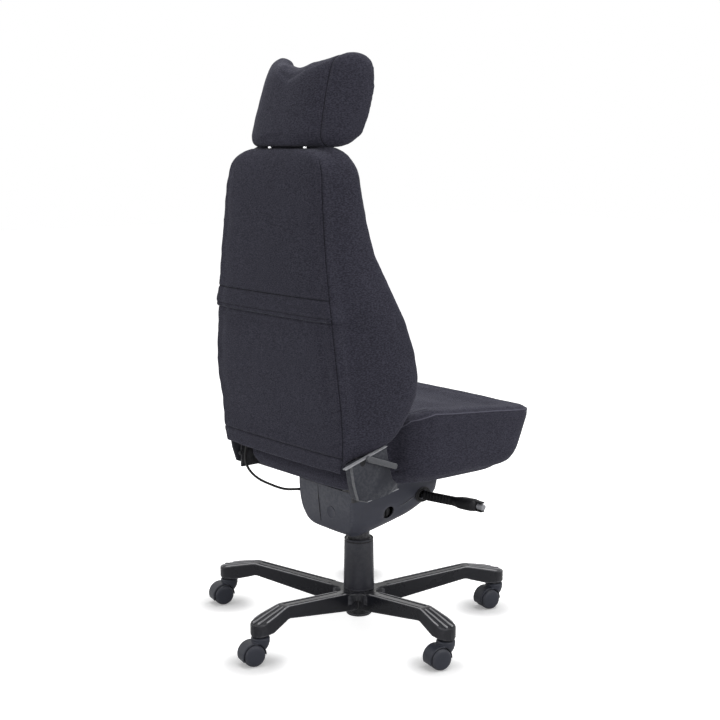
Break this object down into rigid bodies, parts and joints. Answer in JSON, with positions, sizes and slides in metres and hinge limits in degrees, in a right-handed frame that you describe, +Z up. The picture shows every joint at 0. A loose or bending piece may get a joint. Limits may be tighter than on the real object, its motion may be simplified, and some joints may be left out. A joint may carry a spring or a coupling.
{
  "type": "office chair",
  "caption": "Heavy-duty swivel office chair with a tall upholstered back, winged headrest, tilting seat with gas lift, and a star base on twin-wheel casters.",
  "frame": {"origin": "on the floor, under the middle of the chair's outline seen from above", "axes": "+Z up; -Y towards the front of the seat; +X at the sitter's left"},
  "size_m": [0.7033, 0.7309, 1.321],
  "materials": {
    "charcoal_fabric": "matte",
    "grey_plastic": "satin",
    "black_plastic": "satin",
    "coated_aluminium": "satin",
    "black_steel": "satin",
    "steel": "satin",
    "chrome": "polished",
    "wheel_nylon": "satin",
    "cable_jacket": "satin"
  },
  "bodies": {
    "base": {"star_base": "coated_aluminium", "column_cover_lower": "black_plastic", "gas_lift_tube": "black_steel", "guide_bush": "black_plastic", "thrust_bearing": "steel"},
    "piston": {"piston_rod": "steel", "retaining_clip": "steel"},
    "mechanism": {"gas_cylinder": "black_steel", "column_cover_upper": "black_plastic", "tilt_chassis": "black_steel", "housing_left": "grey_plastic", "housing_right": "grey_plastic", "tilt_shaft": "steel", "lever_pin": "steel"},
    "valve": {"valve_pin": "steel"},
    "tension": {"tension_knob": "black_plastic"},
    "height_lever": {"height_lever_rod": "black_steel", "height_lever_handle": "black_plastic"},
    "tilt_lock": {"tilt_lock_knob": "grey_plastic"},
    "seat": {"seat_carrier": "black_steel", "seat_pan": "grey_plastic", "seat_cushion": "charcoal_fabric", "seat_plate_left": "black_steel", "seat_plate_right": "black_steel", "recliner_pin_left": "steel", "recliner_pin_right": "steel", "release_cable": "cable_jacket"},
    "back": {"back_shell": "charcoal_fabric", "back_cushion": "charcoal_fabric", "back_arm_left": "black_steel", "back_arm_right": "black_steel", "recliner_cover_left": "grey_plastic", "recliner_cover_right": "grey_plastic", "headrest_guide_left": "black_plastic", "headrest_guide_right": "black_plastic"},
    "recliner_lever": {"recliner_lever": "grey_plastic"},
    "headrest": {"headrest_rod_left": "chrome", "headrest_rod_right": "chrome", "headrest_pad": "charcoal_fabric"},
    "caster_1": {"caster_1_hood": "black_plastic", "caster_1_stem": "steel"},
    "wheel_1_right": {"wheel_1_right": "wheel_nylon"},
    "wheel_1_left": {"wheel_1_left": "wheel_nylon"},
    "caster_2": {"caster_2_hood": "black_plastic", "caster_2_stem": "steel"},
    "wheel_2_right": {"wheel_2_right": "wheel_nylon"},
    "wheel_2_left": {"wheel_2_left": "wheel_nylon"},
    "caster_3": {"caster_3_hood": "black_plastic", "caster_3_stem": "steel"},
    "wheel_3_right": {"wheel_3_right": "wheel_nylon"},
    "wheel_3_left": {"wheel_3_left": "wheel_nylon"},
    "caster_4": {"caster_4_hood": "black_plastic", "caster_4_stem": "steel"},
    "wheel_4_right": {"wheel_4_right": "wheel_nylon"},
    "wheel_4_left": {"wheel_4_left": "wheel_nylon"},
    "caster_5": {"caster_5_hood": "black_plastic", "caster_5_stem": "steel"},
    "wheel_5_right": {"wheel_5_right": "wheel_nylon"},
    "wheel_5_left": {"wheel_5_left": "wheel_nylon"}
  },
  "joints": [
    {"name": "seat_swivel", "type": "hinge", "parent": "base", "child": "piston", "pos_m": [0.0177, -0.027, 0.026], "axis": [0, 0, 1], "continuous": true},
    {"name": "gas_lift", "type": "slide", "parent": "piston", "child": "mechanism", "axis": [0, 0, 1], "range_m": [0, 0.11]},
    {"name": "height_lever_lift", "type": "hinge", "parent": "mechanism", "child": "height_lever", "pos_m": [-0.0323, -0.142, 0.3095], "axis": [0, 1, 0], "range_deg": [0, 6], "stiffness_Nm_per_rad": 2, "springref_deg": -11.46},
    {"name": "valve_press", "type": "slide", "parent": "mechanism", "child": "valve", "axis": [0, 0, 1], "range_m": [-0.0056, 0]},
    {"name": "tension_turn", "type": "hinge", "parent": "mechanism", "child": "tension", "pos_m": [-0.0443, -0.039, 0.284], "axis": [1, 0, 0], "continuous": true},
    {"name": "tilt_lock_turn", "type": "hinge", "parent": "height_lever", "child": "tilt_lock", "pos_m": [-0.2683, -0.142, 0.32293], "axis": [1, 0, 0], "range_deg": [0, 90]},
    {"name": "seat_tilt", "type": "hinge", "parent": "mechanism", "child": "seat", "pos_m": [0.0177, -0.102, 0.352], "axis": [-1, 0, 0], "range_deg": [0, 8], "stiffness_Nm_per_rad": 220, "springref_deg": -20.05, "deforming": ["release_cable"]},
    {"name": "back_recline", "type": "hinge", "parent": "seat", "child": "back", "pos_m": [0.0177, 0.123, 0.425], "axis": [-1, 0, 0], "range_deg": [0, 28]},
    {"name": "recliner_release", "type": "hinge", "parent": "back", "child": "recliner_lever", "pos_m": [-0.2278, 0.151, 0.4705], "axis": [-1, 0, 0], "range_deg": [0, 16], "stiffness_Nm_per_rad": 0.4, "springref_deg": -11.46},
    {"name": "headrest_height", "type": "slide", "parent": "back", "child": "headrest", "axis": [0, 0, 1], "range_m": [0, 0.07]},
    {"name": "caster_1_swivel", "type": "hinge", "parent": "base", "child": "caster_1", "pos_m": [0.31881, 0.14545, 0.0655], "axis": [0, 0, 1], "continuous": true},
    {"name": "wheel_1_right_roll", "type": "hinge", "parent": "caster_1", "child": "wheel_1_right", "pos_m": [0.32308, 0.1655, 0.025], "axis": [0.9781, -0.2079, 0], "continuous": true},
    {"name": "wheel_1_left_roll", "type": "hinge", "parent": "caster_1", "child": "wheel_1_left", "pos_m": [0.32308, 0.1655, 0.025], "axis": [0.9781, -0.2079, 0], "continuous": true},
    {"name": "caster_2_swivel", "type": "hinge", "parent": "base", "child": "caster_2", "pos_m": [-0.05326, 0.31267, 0.0655], "axis": [0, 0, 1], "continuous": true},
    {"name": "wheel_2_right_roll", "type": "hinge", "parent": "caster_2", "child": "wheel_2_right", "pos_m": [-0.049, 0.33272, 0.025], "axis": [0.9781, -0.2079, 0], "continuous": true},
    {"name": "wheel_2_left_roll", "type": "hinge", "parent": "caster_2", "child": "wheel_2_left", "pos_m": [-0.049, 0.33272, 0.025], "axis": [0.9781, -0.2079, 0], "continuous": true},
    {"name": "caster_3_swivel", "type": "hinge", "parent": "base", "child": "caster_3", "pos_m": [-0.32727, 0.01048, 0.0655], "axis": [0, 0, 1], "continuous": true},
    {"name": "wheel_3_right_roll", "type": "hinge", "parent": "caster_3", "child": "wheel_3_right", "pos_m": [-0.32301, 0.03053, 0.025], "axis": [0.9781, -0.2079, 0], "continuous": true},
    {"name": "wheel_3_left_roll", "type": "hinge", "parent": "caster_3", "child": "wheel_3_left", "pos_m": [-0.32301, 0.03053, 0.025], "axis": [0.9781, -0.2079, 0], "continuous": true},
    {"name": "caster_4_swivel", "type": "hinge", "parent": "base", "child": "caster_4", "pos_m": [-0.12454, -0.34351, 0.0655], "axis": [0, 0, 1], "continuous": true},
    {"name": "wheel_4_right_roll", "type": "hinge", "parent": "caster_4", "child": "wheel_4_right", "pos_m": [-0.12028, -0.32345, 0.025], "axis": [0.9781, -0.2079, 0], "continuous": true},
    {"name": "wheel_4_left_roll", "type": "hinge", "parent": "caster_4", "child": "wheel_4_left", "pos_m": [-0.12028, -0.32345, 0.025], "axis": [0.9781, -0.2079, 0], "continuous": true},
    {"name": "caster_5_swivel", "type": "hinge", "parent": "base", "child": "caster_5", "pos_m": [0.27476, -0.26009, 0.0655], "axis": [0, 0, 1], "continuous": true},
    {"name": "wheel_5_right_roll", "type": "hinge", "parent": "caster_5", "child": "wheel_5_right", "pos_m": [0.27902, -0.24004, 0.025], "axis": [0.9781, -0.2079, 0], "continuous": true},
    {"name": "wheel_5_left_roll", "type": "hinge", "parent": "caster_5", "child": "wheel_5_left", "pos_m": [0.27902, -0.24004, 0.025], "axis": [0.9781, -0.2079, 0], "continuous": true}
  ],
  "couplings": [
    {"joint": "valve_press", "follows": "height_lever_lift", "m_per_rad": -0.05}
  ]
}
